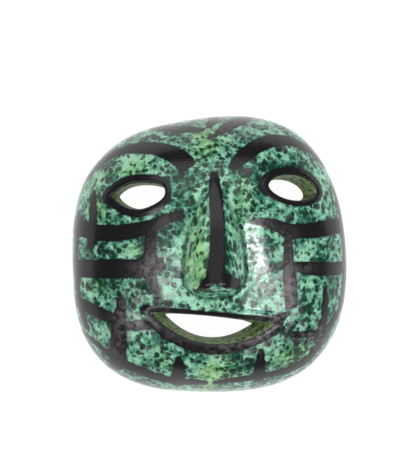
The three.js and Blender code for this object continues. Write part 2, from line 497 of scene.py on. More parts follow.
class MeshDraft:
    """Collects points, their paint coordinates and faces, then drops the unused points."""

    def __init__(self) -> None:
        """Start with no points and no faces."""
        self.points: list[Array] = []
        self.marks: list[Array] = []
        self.faces: list[Array] = []
        self.count = 0

    def add_points(self, points: Array, marks: Array) -> Array:
        """Add points of any grid shape.

        Args:
            points: Positions, with x, y, z last.
            marks: For each point, its distance to an opening's band, inside share and foot share.

        Returns:
            Indices of the points, in the grid's shape.
        """
        flat = points.reshape(-1, 3)
        self.points.append(flat)
        self.marks.append(marks.reshape(-1, 3))
        indices = np.arange(self.count, self.count + len(flat)).reshape(points.shape[:-1])
        self.count += len(flat)
        return indices

    def add_quads(self, a: Array, b: Array, c: Array, d: Array) -> None:
        """Add four-sided faces from the indices of their corners, counter-clockwise from outside."""
        self.faces.append(np.stack([a.ravel(), b.ravel(), c.ravel(), d.ravel()], axis=1))

    def add_rings(self, rings: list[Array], inward: bool) -> None:
        """Join closed rings of equal length, each to the next.

        Args:
            rings: Index rings, counter-clockwise seen from the front.
            inward: True if the rings close towards a hole, false if they go down an outer wall.
        """
        for ring, after in zip(rings[:-1], rings[1:]):
            quad = (ring, np.roll(ring, -1), np.roll(after, -1), after)
            self.add_quads(*(quad if inward else quad[::-1]))

    def add_halving(self, fine: Array, coarse: Array, inward: bool) -> None:
        """Join a ring to one with half as many points, with three triangles to each coarse edge.

        Args:
            fine: Ring with twice the points, whose even points face the coarse ones.
            coarse: Ring with half the points.
            inward: As for add_rings.
        """
        even, odd, after = fine[0::2], fine[1::2], np.roll(fine[0::2], -1)
        coarse_after = np.roll(coarse, -1)
        for corners in ((even, odd, coarse), (odd, coarse_after, coarse), (odd, after, coarse_after)):
            triangle = corners if inward else corners[::-1]
            self.faces.append(np.stack([*triangle, np.full(len(coarse), -1)], axis=1))

    def finish(self) -> tuple[Array, Array, Array]:
        """Drop the points that no face uses.

        Returns:
            Points, marks, and faces whose fourth corner is -1 for a triangle.
        """
        points, marks, faces = (np.concatenate(part) for part in (self.points, self.marks, self.faces))
        used, renumbered = np.unique(faces, return_inverse=True)
        renumbered = renumbered.reshape(faces.shape)
        if used[0] < 0:
            used, renumbered = used[1:], renumbered - 1
        return points[used], marks[used], renumbered


def vertex_normals(points: Array, faces: Array) -> Array:
    """Unit normals at the points, as the sum of the face normals weighted by area.

    Args:
        points: Positions.
        faces: Quads, or triangles whose fourth corner is -1.

    Returns:
        One normal for each point.
    """
    last = np.where(faces[:, 3] < 0, faces[:, 0], faces[:, 3])
    across = points[faces[:, 2]] - points[faces[:, 0]]
    along = points[last] - points[faces[:, 1]]
    face_normals = np.cross(across, along)
    total = np.zeros_like(points)
    for corner in (*faces.T[:3], last):
        for axis in range(3):
            total[:, axis] += np.bincount(corner, face_normals[:, axis], len(points))
    return total / np.maximum(np.linalg.norm(total, axis=1, keepdims=True), TINY)


@dataclass(frozen=True)
class HandMarks:
    """Gentle unevenness of a hand-built surface: a sum of seeded sine waves."""

    wavelengths: tuple[float, float] = (22.0, 60.0)
    waves: int = 26
    height: float = 0.16
    seed: int = 11

    def at(self, points: Array) -> Array:
        """Sum of sine waves of random direction, length and phase.

        Args:
            points: Positions.

        Returns:
            The height of the unevenness at each point.
        """
        random = np.random.default_rng(self.seed)
        direction = random.normal(size=(self.waves, 3))
        direction /= np.linalg.norm(direction, axis=1, keepdims=True)
        length = random.uniform(*self.wavelengths, size=self.waves)
        phase = random.uniform(0.0, 2.0 * np.pi, size=self.waves)
        swell = self.height * length / np.mean(self.wavelengths)
        waves = np.sin(points @ (direction.T * 2.0 * np.pi / length) + phase)
        return waves @ swell / math.sqrt(self.waves / 2.0)


@dataclass
class MaskShell:
    """The one-piece clay shell: face, openings, foot ring and hollow."""

    face_cells: int = 224
    falloff_cells: int = 14
    block_fill: float = 0.97
    block_height: float = 0.8
    glaze_start: float = 0.2
    glaze_end: float = -1.4
    foot_round: float = 2.0
    foot_rows: int = 4
    foot_shares: tuple[float, ...] = (0.33, 0.67)
    hand_marks: HandMarks = HandMarks()

    def build(self) -> tuple[Array, Array, Array]:
        """Work out the whole surface.

        Returns:
            Points, marks and faces of one closed shell.
        """
        draft = MeshDraft()
        face = self.grid_plan(OUTER, self.face_cells)
        hollow = self.grid_plan(INNER, self.face_cells // 2)
        face_rings, hollow_rings = [], []
        for opening in OPENINGS:
            block = self.block_of(face, opening.outer, opening.lip_reach)
            half_block = (*self.nearest_node(hollow, opening.inner), block[2] // 2, block[3] // 2)
            angles = opening.stations(2 * (block[2] + block[3]))
            outer_edge = opening.outer.point(angles) + opening.outer.outward(angles) * opening.lip_reach
            even = angles[::2]
            inner_edge = opening.inner.point(even) + opening.inner.outward(even) * opening.inner_reach
            self.bend_to(face, block, outer_edge, self.falloff_cells)
            self.bend_to(hollow, half_block, inner_edge, self.falloff_cells // 2)
            face_rings.append((opening, angles, block))
            hollow_rings.append(half_block)
        face_nodes = self.add_grid(draft, OUTER, face, [ring[2] for ring in face_rings], inside=False)
        hollow_nodes = self.add_grid(draft, INNER, hollow, hollow_rings, inside=True)
        for (opening, angles, block), half_block in zip(face_rings, hollow_rings):
            face_ring = face_nodes[self.perimeter(block)]
            hollow_ring = hollow_nodes[self.perimeter(half_block)]
            self.add_opening(draft, opening, angles, face_ring, hollow_ring)
        self.add_foot(draft, face_nodes, hollow_nodes)
        points, marks, faces = draft.finish()
        unevenness = self.hand_marks.at(points) * (1.0 - smoothstep(0.0, 1.0, marks[:, 2]))
        points = points + vertex_normals(points, faces) * unevenness[:, None]
        points[:, 2] = np.maximum(points[:, 2], 0.0)
        return points, marks, faces

    def grid_plan(self, dome: Dome, cells: int) -> Grid:
        """Plan of a dome's grid as complex numbers, and its fall under the widest contour."""
        x, y, fall = dome.plan(cells)
        return {"plan": x + 1j * y, "fall": fall}

    def nearest_node(self, grid: Grid, leaf: Leaf) -> tuple[int, int]:
        """Find the node of a grid that is nearest to the middle of a leaf.

        Args:
            grid: The grid.
            leaf: The leaf.

        Returns:
            The node's row and column.
        """
        middle = leaf.x + 1j * (leaf.y + (leaf.above - leaf.below) / 2.0)
        row, column = np.unravel_index(np.argmin(np.abs(grid["plan"] - middle)), grid["plan"].shape)
        return int(row), int(column)

    def block_of(self, grid: Grid, leaf: Leaf, reach: float) -> Block:
        """Block of grid cells that an opening takes the place of.

        Args:
            grid: The grid.
            leaf: Outline of the opening.
            reach: Distance from the outline to the edge of the block.

        Returns:
            The row and column of the block's middle, and its width and height in cells.
        """
        plan = grid["plan"]
        row, column = self.nearest_node(grid, leaf)
        across = abs(plan[row, column + 1] - plan[row, column])
        along = abs(plan[row + 1, column] - plan[row, column])
        half_length = leaf.half_length + reach
        half_height = (leaf.above + leaf.below) / 2.0 * self.block_height + reach
        width = 4 * round(half_length * self.block_fill / across / 2.0)
        height = 4 * round(half_height * self.block_fill / along / 2.0)
        return row, column, width, height

    def perimeter(self, block: Block) -> tuple[Array, Array]:
        """Walk round a block, counter-clockwise from the middle of its right side.

        Args:
            block: The block.

        Returns:
            The rows and columns of its rim's nodes.
        """
        row, column, width, height = block
        half_width, half_height = width // 2, height // 2
        up = np.arange(-half_height, half_height)
        across = np.arange(-half_width, half_width)
        rows = np.concatenate([up, np.full(width, half_height), -up, np.full(width, -half_height)])
        right, left = np.full(height, half_width), np.full(height, -half_width)
        columns = np.concatenate([right, -across, left, across])
        return np.roll(rows, -half_height) + row, np.roll(columns, -half_height) + column

    def bend_to(self, grid: Grid, block: Block, edge: Array, falloff: int) -> None:
        """Bend the grid so that the rim of a block lands on a given line.

        Each node near the block moves as the nearest node of the block's rim does, times a smooth
        fall from 1 at the rim to 0 at the given number of cells from it.

        Args:
            grid: The grid, whose plan is changed.
            block: The block, as from block_of.
            edge: Line for the rim's nodes, in the order of perimeter.
            falloff: Number of cells over which the bend fades.
        """
        rows, columns = self.perimeter(block)
        shifts = np.zeros(grid["plan"].shape, complex)
        shifts[rows, columns] = edge - grid["plan"][rows, columns]
        row, column, width, height = block
        all_rows, all_columns = np.indices(grid["plan"].shape)
        near_row = np.clip(all_rows, row - height // 2, row + height // 2)
        near_column = np.clip(all_columns, column - width // 2, column + width // 2)
        away = np.hypot(all_rows - near_row, all_columns - near_column)
        grid["plan"] = grid["plan"] + shifts[near_row, near_column] * smoothstep(falloff, 0.0, away)

    def add_grid(
        self, draft: MeshDraft, dome: Dome, grid: Grid, blocks: list[Block], inside: bool
    ) -> Array:
        """Add a bent grid to the draft, without the cells of its blocks.

        Args:
            draft: The draft.
            dome: The dome that the grid lies on.
            grid: The grid.
            blocks: Blocks left open.
            inside: True for the hollow, whose faces look the other way.

        Returns:
            Indices of the grid's nodes.
        """
        x, y, fall = grid["plan"].real, grid["plan"].imag, grid["fall"]
        ceiling = hollow_height(x, y) if inside else face_height(x, y)
        z = np.where(fall > 0.0, dome.rim_z - fall, ceiling)
        marks = np.zeros((*x.shape, 3))
        marks[..., 0] = FAR
        marks[..., 1] = 1.0 if inside else 0.0
        nodes = draft.add_points(np.stack([x, y, z], axis=-1), marks)
        keep = np.ones((x.shape[0] - 1, x.shape[1] - 1), bool)
        for row, column, width, height in blocks:
            up, across = height // 2, width // 2
            keep[row - up:row + up, column - across:column + across] = False
        corners = [nodes[:-1, :-1][keep], nodes[:-1, 1:][keep], nodes[1:, 1:][keep], nodes[1:, :-1][keep]]
        draft.add_quads(*(corners[::-1] if inside else corners))
        return nodes

    def add_opening(
        self, draft: MeshDraft, opening: Opening, angles: Array, face_ring: Array, hollow_ring: Array
    ) -> None:
        """Carry the profile of an opening round its leaf, from the face to the hollow.

        The profile climbs the raised lip, turns over the edge on a quadratic Bezier curve, runs down
        the ruled wall and turns again into the hollow.

        Args:
            draft: The draft.
            opening: The opening.
            angles: Angles of its stations.
            face_ring: Nodes of the face round the opening.
            hollow_ring: Nodes of the hollow round it, half as many.
        """
        outer, outer_normal = opening.outer.point(angles), opening.outer.outward(angles)
        inner, inner_normal = opening.inner.point(angles), opening.inner.outward(angles)

        def on_face(distance: float) -> Array:
            """Lay a ring of points on the lip.

            Args:
                distance: Distance outwards from the opening's edge.

            Returns:
                One point for each angle.
            """
            plan = outer + outer_normal * distance
            crest = opening.edge_round * opening.crest_share
            raised = opening.lip * smoothstep(opening.lip_reach, crest, np.float64(distance))
            return np.stack([plan.real, plan.imag, face_height(plan.real, plan.imag) + raised], axis=-1)

        def in_hollow(distance: float) -> Array:
            """Points of the hollow at a distance from the inner edge."""
            plan = inner + inner_normal * distance
            return np.stack([plan.real, plan.imag, hollow_height(plan.real, plan.imag)], axis=-1)

        front_corner, back_corner = on_face(0.0), in_hollow(0.0)
        run = back_corner - front_corner
        depth = np.linalg.norm(run, axis=-1, keepdims=True)
        wall_start = front_corner + run * opening.edge_depth / depth
        wall_end = back_corner - run * opening.inner_depth / depth
        rows: list[Array] = []
        distances: list[float] = []
        for distance in np.linspace(opening.lip_reach, opening.edge_round, opening.lip_rows + 1)[1:]:
            rows.append(on_face(distance))
            distances.append(distance)
        for t in np.linspace(0.0, 1.0, opening.edge_rows + 1)[1:]:
            rows.append(self.bezier(on_face(opening.edge_round), front_corner, wall_start, t))
            distances.append(opening.edge_round - (opening.edge_round + opening.edge_depth) * t)
        for t in np.linspace(0.0, 1.0, opening.wall_rows + 1)[1:]:
            rows.append(wall_start + (wall_end - wall_start) * t)
            distances.append(-opening.edge_depth - opening.wall_length * t)
        for t in np.linspace(0.0, 1.0, opening.inner_rows + 1)[1:]:
            rows.append(self.bezier(wall_end, back_corner, in_hollow(opening.inner_round), t))
        rows.append(in_hollow((opening.inner_round + opening.inner_reach) / 2.0))
        distances += [-BAND_LIMIT] * (len(rows) - len(distances))
        edge_distance = np.repeat(np.array(distances)[:, None], len(angles), axis=1)
        past_band = edge_distance - opening.band.at(angles)[None, :]
        down_wall = -(edge_distance + opening.band.down_wall(angles)[None, :])
        paint = np.maximum(past_band, down_wall)
        inside = smoothstep(self.glaze_start, self.glaze_end, edge_distance)
        marks = np.stack([paint, inside, np.zeros_like(paint)], axis=-1)
        nodes = draft.add_points(np.stack(rows), marks)
        draft.add_rings([face_ring, *nodes], inward=True)
        draft.add_halving(nodes[-1], hollow_ring, inward=True)

    @staticmethod
    def bezier(start: Array, corner: Array, end: Array, t: float) -> Array:
        """Point of a quadratic Bezier curve: (1-t)^2 start + 2t(1-t) corner + t^2 end."""
        return start * (1.0 - t) ** 2 + corner * 2.0 * t * (1.0 - t) + end * t * t

    def add_foot(self, draft: MeshDraft, face_nodes: Array, hollow_nodes: Array) -> None:
        """Close the rim with the flat foot ring, rounded at its outer and inner edges.

        Args:
            draft: The draft.
            face_nodes: Nodes of the face's grid.
            hollow_nodes: Nodes of the hollow's grid.
        """
        cells = self.face_cells
        outer_ring = face_nodes[self.perimeter((cells // 2, cells // 2, cells, cells))]
        inner_ring = hollow_nodes[self.perimeter((cells // 4, cells // 4, cells // 2, cells // 2))]
        points = np.concatenate(draft.points)
        outer, inner = points[outer_ring], points[inner_ring]
        fine, wrapped = np.arange(len(outer)) / 2.0, np.concatenate([inner, inner[:1]])
        coarse = np.arange(len(wrapped))
        inner = np.stack([np.interp(fine, coarse, values) for values in wrapped.T], axis=1)
        across = (inner - outer) * np.array([1.0, 1.0, 0.0])
        across /= np.linalg.norm(across, axis=1, keepdims=True)
        down = np.array([0.0, 0.0, -1.0])
        turns = np.linspace(0.0, np.pi / 2.0, self.foot_rows + 1)[1:]

        def rounded(ring: Array, inwards: Array, turn: float) -> Array:
            """Ring of a rounded edge, a quarter circle from the wall down to the flat foot."""
            return ring + self.foot_round * (inwards * (1.0 - math.cos(turn)) + down * math.sin(turn))

        outer_rows = [rounded(outer, across, turn) for turn in turns]
        inner_rows = [rounded(inner, -across, turn) for turn in turns[::-1]]
        flat = [outer_rows[-1] + (inner_rows[0] - outer_rows[-1]) * share for share in self.foot_shares]
        stacked = np.stack(outer_rows + flat + inner_rows)
        marks = np.zeros((*stacked.shape[:2], 3))
        marks[..., 0] = FAR
        marks[..., 2] = 1.0
        nodes = draft.add_points(stacked, marks)
        draft.add_rings([outer_ring, *nodes], inward=False)
        draft.add_halving(nodes[-1], inner_ring, inward=False)


class BrushLoad(Enum):
    """How much glaze the brush carried."""

    FULL = "bands"
    DRY = "thin_bands"


@dataclass(frozen=True)
class BrushStroke:
    """One stroke of a flat brush: points of its middle line, each x, y and the stroke's width there."""

    name: str
    line: tuple[tuple[float, float, float], ...]
    load: BrushLoad = BrushLoad.FULL
    square_ends: bool = True
    softness: float = 5.0
    step: float = 0.7
    reach: float = 6.0

    def middle(self) -> tuple[Array, Array]:
        """Middle line with its corners rounded, at even steps, and the half-widths along it.

        Returns:
            Complex plan points and half-widths.
        """
        rows = np.array(self.line)
        points = rows[:, 0] + 1j * rows[:, 1]
        length = length_along(points)
        even = np.linspace(0.0, length[-1], max(int(length[-1] / self.step), 4))
        dense = [np.interp(even, length, values) for values in (points.real, points.imag, rows[:, 2] / 2.0)]
        reach = max(int(self.softness / self.step / 2.0), 1)
        window = np.hanning(2 * reach + 3)[1:-1]
        window /= window.sum()
        padded = [np.pad(values, reach, "reflect", reflect_type="odd") for values in dense]
        x, y, half_width = (np.convolve(values, window, mode="valid") for values in padded)
        return x + 1j * y, half_width

    def distance(self, plan: Array) -> Array:
        """Signed distance in millimetres to the stroke's edge, below zero inside it.

        The nearest point of the middle line gives the offset across it. The distance is that offset
        less the half-width and, past a square end, the overrun along the line if that is more.

        Args:
            plan: Complex plan points.

        Returns:
            One distance for each point, or FAR away from the stroke.
        """
        middle, half_width = self.middle()
        tangent = np.gradient(middle)
        tangent /= np.abs(tangent)
        margin = half_width.max() + self.reach
        near = (plan.real > middle.real.min() - margin) & (plan.real < middle.real.max() + margin)
        near &= (plan.imag > middle.imag.min() - margin) & (plan.imag < middle.imag.max() + margin)
        result = np.full(plan.shape, FAR)
        if not near.any():
            return result
        offsets = plan[near][:, None] - middle[None, :]
        nearest = np.argmin(np.abs(offsets), axis=1)
        offset = offsets[np.arange(len(nearest)), nearest] / tangent[nearest]
        if self.square_ends:
            at_end = (nearest == 0) | (nearest == len(middle) - 1)
            overrun = np.where(at_end, np.abs(offset.real) - self.step, -FAR)
            result[near] = np.maximum(np.abs(offset.imag) - half_width[nearest], overrun)
        else:
            result[near] = np.abs(offset) - half_width[nearest]
        return result


# These points weren't chosen by hand alone. Most were read off the photograph, in pixels, and turned into
# millimetres by a program, and many were then moved.
STROKES = (
    BrushStroke("left_brow", (
        (-17.6, 57.4, 11.6), (-20.2, 61.2, 11.4), (-23.6, 63.9, 11.2), (-29.2, 66.9, 10.5),
        (-37.8, 69.2, 8.2), (-45.8, 70.0, 7.1), (-55.2, 68.9, 5.5), (-62.2, 66.6, 4.3), (-69.2, 62.2, 3.4),
        (-76.0, 56.0, 2.6), (-82.0, 49.0, 2.0),
    ), softness=3.0),
    BrushStroke("right_brow", (
        (9.8, 58.6, 5.8), (12.3, 61.2, 8.0), (17.5, 65.4, 9.2), (23.7, 69.7, 9.0), (29.6, 72.5, 8.7),
        (36.3, 74.4, 8.3), (42.5, 74.7, 7.2), (49.0, 74.2, 6.4), (54.7, 72.7, 5.5), (60.3, 69.9, 4.5),
        (66.0, 65.4, 3.4), (74.0, 58.0, 2.0),
    ), square_ends=False),
    BrushStroke("left_crown", (
        (-6.0, 82.0, 0.6), (-9.1, 81.6, 2.8), (-18.3, 81.8, 4.6), (-26.9, 82.0, 4.8), (-36.0, 83.5, 5.2),
        (-48.0, 90.0, 6.0),
    ), square_ends=False),
    BrushStroke("right_crown", (
        (-0.5, 76.3, 0.6), (1.7, 78.9, 3.1), (5.8, 81.6, 5.2), (11.4, 84.6, 5.9), (17.0, 87.0, 6.0),
        (26.0, 92.0, 6.5), (36.0, 100.0, 7.0),
    ), square_ends=False),
    BrushStroke("crown_dab", ((-3.0, 83.4, 3.6), (0.8, 88.0, 5.4), (4.0, 97.0, 7.0))),
    BrushStroke("brow_dab", (
        (13.4, 53.6, 2.4), (17.4, 55.2, 4.2), (21.4, 56.6, 2.4),
    ), BrushLoad.DRY, square_ends=False),
    BrushStroke("nose_line", (
        (-2.2, 52.7, 5.4), (-2.2, 46.1, 7.6), (-1.9, 37.1, 8.4), (-1.4, 25.2, 8.7), (-1.5, 13.4, 9.2),
        (-2.2, 1.6, 10.1), (-2.8, -3.5, 10.6), (-3.2, -6.4, 10.8),
    ), square_ends=False),
    BrushStroke("left_barb", (
        (-5.0, -7.6, 6.4), (-8.6, -11.6, 6.0), (-11.4, -14.4, 4.0), (-13.6, -16.0, 1.4),
    ), square_ends=False, softness=2.0),
    BrushStroke("right_barb", (
        (-0.5, -7.6, 6.4), (3.0, -10.0, 8.0), (7.6, -11.8, 7.2), (12.0, -12.8, 6.2),
    ), softness=2.0),
    BrushStroke("left_temple", (
        (-75.0, 43.0, 1.3), (-75.7, 39.0, 3.8), (-76.0, 30.3, 5.0), (-76.3, 21.0, 5.7), (-77.0, 11.6, 5.0),
        (-77.3, 5.0, 1.5),
    ), square_ends=False),
    BrushStroke("left_under_eye", (
        (-21.6, 29.0, 4.4), (-26.6, 27.6, 6.2), (-32.6, 25.9, 7.0), (-38.6, 23.0, 7.6), (-45.6, 20.2, 8.8),
        (-52.7, 18.6, 9.5), (-62.8, 17.0, 10.0), (-73.0, 17.2, 10.4), (-84.0, 19.6, 11.4),
        (-103.0, 24.0, 12.5),
    )),
    BrushStroke("left_cheek_bar", (
        (-33.0, -0.6, 7.6), (-36.0, -1.4, 8.8), (-41.7, -3.0, 12.0), (-49.2, -4.2, 11.8),
        (-64.4, -4.8, 11.8), (-80.0, -5.9, 11.6), (-90.0, -6.1, 11.0), (-104.0, -6.2, 11.0),
    )),
    BrushStroke("left_cheek_post", (
        (-40.9, 20.0, 7.3), (-40.9, 12.7, 7.4), (-41.1, 5.1, 7.9), (-41.7, -2.5, 9.0),
    )),
    BrushStroke("left_cheek_tail", (
        (-41.0, -4.0, 9.0), (-40.6, -10.0, 7.4), (-39.0, -15.0, 5.0), (-36.8, -19.0, 3.4),
    ), square_ends=False, softness=3.0),
    BrushStroke("left_cheek_smear", (
        (-37.6, -16.0, 6.0), (-36.4, -21.0, 7.4), (-37.2, -28.0, 4.4),
    ), BrushLoad.DRY),
    BrushStroke("left_jaw_slant", (
        (-102.0, -23.0, 8.0), (-88.0, -27.4, 7.8), (-79.4, -30.4, 7.6), (-69.6, -34.0, 7.5),
        (-60.5, -37.6, 7.0),
    )),
    BrushStroke("left_jaw_post", (
        (-59.4, -19.4, 1.9), (-59.3, -22.9, 4.3), (-59.0, -28.2, 5.9), (-60.1, -35.5, 8.0),
        (-60.3, -41.8, 9.0), (-60.6, -49.3, 10.0), (-60.8, -58.0, 10.6), (-61.2, -66.0, 10.7),
    ), square_ends=False),
    BrushStroke("left_mouth_bar", ((-57.0, -40.0, 5.6), (-49.5, -39.4, 6.0), (-42.0, -38.6, 5.6))),
    BrushStroke("left_jaw_line", (
        (-92.0, -45.0, 3.5), (-82.0, -49.4, 3.4), (-76.9, -52.4, 3.4), (-71.5, -56.2, 4.0),
        (-65.2, -60.2, 5.0), (-55.4, -66.2, 6.3), (-44.8, -70.6, 5.9), (-31.3, -75.8, 5.6),
        (-20.5, -77.5, 5.3), (-9.7, -77.8, 4.8), (-5.9, -77.9, 3.4),
    ), square_ends=False),
    BrushStroke("left_chin_tick", (
        (-23.9, -59.8, 3.1), (-23.4, -62.7, 5.8), (-23.2, -66.8, 7.4), (-23.9, -76.0, 9.8),
    ), square_ends=False, softness=3.0),
    BrushStroke("left_edge", (
        (-85.6, 30.0, 1.6), (-86.6, 17.1, 2.8), (-87.0, 4.4, 3.0), (-86.9, -8.4, 3.0), (-86.0, -21.1, 3.0),
        (-84.1, -32.5, 3.2), (-80.4, -44.0, 3.2),
    ), square_ends=False),
    BrushStroke("right_under_eye", (
        (19.0, 23.8, 1.6), (24.4, 24.6, 4.8), (30.7, 23.5, 6.2), (37.1, 21.4, 7.4), (42.8, 18.9, 8.4),
        (50.4, 18.2, 8.8), (59.0, 18.3, 9.6), (67.2, 19.2, 10.2), (75.0, 20.0, 10.0), (87.0, 21.0, 9.6),
        (104.0, 22.5, 9.6),
    ), square_ends=False),
    BrushStroke("right_cheek_post", (
        (43.6, 18.4, 5.0), (43.8, 12.2, 5.6), (43.7, 5.3, 6.2), (43.8, -2.4, 7.4), (44.6, -9.4, 8.6),
        (45.2, -17.2, 8.6), (45.3, -23.3, 8.2), (45.7, -28.8, 7.4),
    )),
    BrushStroke("right_cheek_bar", (
        (46.0, -3.0, 5.0), (50.0, -3.6, 6.6), (54.6, -4.6, 8.0), (63.4, -5.8, 8.7), (70.8, -6.5, 8.5),
        (77.2, -6.7, 8.3), (88.0, -6.7, 7.8), (104.0, -6.7, 7.8),
    )),
    BrushStroke("right_edge", (
        (78.0, 50.0, 1.2), (81.6, 36.0, 3.2), (84.4, 22.0, 4.4), (86.2, 6.0, 4.8), (86.4, -10.0, 4.8),
        (84.6, -26.0, 4.2), (80.6, -40.0, 2.0),
    ), square_ends=False),
    BrushStroke("right_nose_bar", (
        (23.6, -6.9, 2.4), (29.1, -4.4, 5.2), (34.7, -3.0, 4.4), (41.0, -2.7, 5.6),
    ), BrushLoad.DRY),
    BrushStroke("right_jaw_post", (
        (69.7, -18.6, 2.4), (69.6, -22.2, 4.0), (69.5, -29.9, 4.8), (69.6, -37.1, 5.2), (68.2, -44.2, 5.8),
        (65.6, -51.3, 6.0),
    ), square_ends=False, softness=3.0),
    BrushStroke("right_mouth_bar", (
        (46.4, -45.8, 3.4), (50.1, -46.4, 4.0), (57.2, -47.1, 4.0), (67.0, -46.9, 4.4),
    ), square_ends=False),
    BrushStroke("right_jaw_line", (
        (-0.2, -78.0, 1.9), (4.1, -76.8, 3.1), (9.0, -75.9, 3.7), (18.0, -75.0, 4.2), (27.1, -74.1, 4.9),
        (39.3, -72.6, 4.9), (46.1, -71.3, 5.3), (53.8, -68.6, 5.9), (61.5, -63.8, 6.0), (66.9, -56.5, 5.6),
        (70.8, -48.6, 5.7), (75.4, -42.1, 5.1), (81.0, -35.5, 4.2), (90.0, -27.0, 4.0),
    ), square_ends=False),
    BrushStroke("right_chin_tick", (
        (27.3, -55.2, 2.8), (27.4, -57.8, 4.9), (27.3, -61.7, 5.8), (27.3, -66.8, 6.9), (27.3, -74.0, 8.7),
    ), square_ends=False, softness=3.0),
    BrushStroke("right_jaw_dab", (
        (50.5, -49.0, 3.1), (50.7, -53.8, 3.4), (51.3, -59.8, 2.5),
    ), BrushLoad.DRY),
    BrushStroke("left_mouth_corner", (
        (-36.0, -31.2, 6.0), (-41.0, -30.2, 7.4), (-44.6, -29.6, 6.4),
    ), square_ends=False, softness=2.0),
    BrushStroke("right_mouth_corner", (
        (33.0, -37.6, 6.6), (38.5, -35.0, 6.2), (43.6, -32.6, 3.2),
    ), square_ends=False, softness=2.0),
)


@dataclass(frozen=True)
class TonePatch:
    """Round area where the glaze is yellower or bluer, thicker or thinner, or where bands and glaze are
    painted pale lilac-grey: partly wear, partly a painted sheen of the lamps.
    """

    x: float
    y: float
    reach_x: float
    reach_y: float
    warmth: float = 0.0
    thickness: float = 0.0
    # Share of pale lilac-grey painted on bands and glaze: partly wear, partly a painted sheen of the lamps.
    wear_and_sheen: float = 0.0

    def share(self, plan: Array) -> Array:
        """Share of the patch at each point, falling off as a Gaussian."""
        across, along = (plan.real - self.x) / self.reach_x, (plan.imag - self.y) / self.reach_y
        return np.exp(-(across ** 2) - along ** 2)


TONES = (
    TonePatch(-14.0, 0.0, 7.0, 22.0, 1.0, -0.3),
    TonePatch(-19.0, 44.0, 12.0, 11.0, 0.25, 0.1),
    TonePatch(-4.0, 72.0, 10.0, 16.0, 0.7, -0.14),
    TonePatch(-3.0, -73.0, 10.0, 11.0, 1.2, -0.16),
    TonePatch(50.0, -58.0, 16.0, 9.0, 0.7, -0.04),
    TonePatch(-50.0, 8.0, 10.0, 6.0, 0.65, 0.06),
    TonePatch(-72.0, -16.0, 10.0, 8.0, 0.5, 0.1),
    TonePatch(17.0, 42.0, 9.0, 14.0, 0.7, -0.1),
    TonePatch(-38.0, -62.0, 16.0, 9.0, 0.4, -0.05),
    TonePatch(9.0, 10.0, 5.0, 20.0, 0.4, 0.02),
    TonePatch(30.0, 5.0, 14.0, 22.0, -0.5),
    TonePatch(-32.0, 14.0, 10.0, 9.0, -0.5, 0.14),
    TonePatch(62.0, 4.0, 12.0, 12.0, -0.3, 0.05),
    TonePatch(60.0, -36.0, 14.0, 16.0, -0.5, 0.12),
    TonePatch(-48.0, 27.0, 22.0, 6.0, -0.4, -0.02),
    TonePatch(-28.0, 46.0, 10.0, 10.0, 0.0, 0.2),
    TonePatch(24.0, 54.0, 12.0, 10.0, -0.3, 0.22),
    TonePatch(46.0, 58.0, 18.0, 6.0, -0.2, 0.2),
    TonePatch(40.0, 28.0, 14.0, 5.0, -0.3, 0.12),
    TonePatch(-56.0, 56.0, 14.0, 6.0, 0.45, -0.04),
    TonePatch(-40.0, 57.0, 12.0, 7.0, 0.1, -0.12),
    TonePatch(-74.0, 34.0, 8.0, 18.0, 0.6, -0.08),
    TonePatch(32.0, -70.0, 16.0, 8.0, 0.35, 0.06),
    TonePatch(-24.0, -20.0, 12.0, 10.0, -0.4, -0.08),
    TonePatch(26.0, -26.0, 14.0, 8.0, -0.4, -0.1),
    TonePatch(15.0, 33.0, 8.0, 9.0, 0.0, 0.16),
    TonePatch(-66.0, 7.0, 10.0, 8.0, 0.0, 0.14),
    TonePatch(-55.0, -20.0, 12.0, 8.0, 0.0, 0.08),
    TonePatch(-34.0, 6.0, 6.0, 8.0, 0.0, 0.1),
    TonePatch(62.0, -26.0, 10.0, 8.0, 0.0, 0.1),
    TonePatch(-15.0, 33.0, 6.0, 9.0, 0.0, 0.12),
    TonePatch(47.0, -64.0, 10.0, 8.0, 0.0, 0.1),
    # These patches paint bands and glaze pale lilac-grey: partly wear, partly a painted sheen where the lamps
    # reflect.
    TonePatch(-42.0, 5.0, 7.0, 8.0, wear_and_sheen=0.4),
    TonePatch(-29.0, -12.0, 8.0, 15.0, wear_and_sheen=0.8),
    TonePatch(-48.0, -24.0, 10.0, 8.0, wear_and_sheen=0.5),
    TonePatch(31.0, -14.0, 11.0, 16.0, wear_and_sheen=0.7),
    TonePatch(-46.0, -52.0, 14.0, 6.0, wear_and_sheen=0.4),
    TonePatch(-39.0, -6.0, 11.0, 6.5, wear_and_sheen=0.9),
    TonePatch(-57.0, -30.0, 7.0, 8.0, wear_and_sheen=0.7),
    TonePatch(-50.0, -40.0, 13.0, 6.0, wear_and_sheen=0.9),
    TonePatch(-60.0, -52.0, 8.0, 10.0, wear_and_sheen=0.4),
    TonePatch(-30.0, 26.0, 9.0, 5.0, wear_and_sheen=0.25),
    TonePatch(43.0, 6.0, 6.0, 12.0, wear_and_sheen=0.5),
    TonePatch(45.0, -18.0, 7.0, 14.0, wear_and_sheen=1.0),
    TonePatch(57.0, -4.0, 6.0, 4.0, wear_and_sheen=0.4),
    TonePatch(41.0, -34.0, 8.0, 7.0, wear_and_sheen=1.2),
    TonePatch(28.0, -46.0, 12.0, 9.0, wear_and_sheen=1.0),
    TonePatch(8.0, -54.0, 14.0, 7.0, wear_and_sheen=0.6),
    TonePatch(-26.0, -47.0, 11.0, 7.0, wear_and_sheen=0.25),
    TonePatch(55.0, -47.0, 12.0, 5.0, wear_and_sheen=0.9),
    TonePatch(68.0, -50.0, 7.0, 12.0, wear_and_sheen=0.5),
    TonePatch(4.0, 82.0, 30.0, 8.0, wear_and_sheen=0.4),
    TonePatch(87.0, 0.0, 7.0, 28.0, wear_and_sheen=0.8),
)


